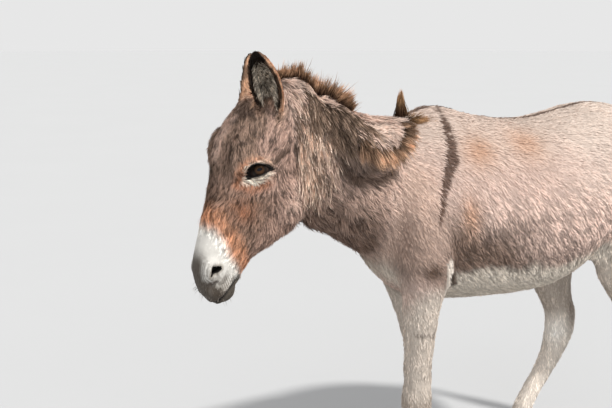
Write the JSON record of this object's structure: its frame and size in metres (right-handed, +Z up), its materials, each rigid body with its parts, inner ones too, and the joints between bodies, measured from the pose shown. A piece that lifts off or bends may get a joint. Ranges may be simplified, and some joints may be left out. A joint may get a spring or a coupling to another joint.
{
  "type": "donkey",
  "caption": "Life-size standing donkey with a grey-dun coat, a dark cross over the shoulders, a pale muzzle, upright ears and a crest fallen to its left.",
  "frame": {"origin": "on the floor, under the middle of the animal's bounding box", "axes": "-Y is where the animal faces, +X is its left side, +Z is up"},
  "size_m": [0.51, 1.6558, 1.3272],
  "materials": {
    "coat": "matte",
    "muzzle": "matte",
    "hair": "matte",
    "horn": "satin",
    "eye": "gloss"
  },
  "bodies": {
    "root": {"trunk": "coat", "neck": "coat", "head": "coat", "lower_jaw": "muzzle", "left_ear": "coat", "right_ear": "coat", "left_eye": "eye", "right_eye": "eye", "mane": "hair", "withers_tuft": "hair", "tail": "coat", "tail_switch": "hair", "left_fore_leg_upper": "coat", "left_fore_leg_lower": "coat", "left_fore_hoof": "horn", "left_hind_leg_upper": "coat", "left_hind_leg_lower": "coat", "left_hind_hoof": "horn", "right_fore_leg_upper": "coat", "right_fore_leg_lower": "coat", "right_fore_hoof": "horn", "right_hind_leg_upper": "coat", "right_hind_leg_lower": "coat", "right_hind_hoof": "horn"}
  },
  "joints": []
}
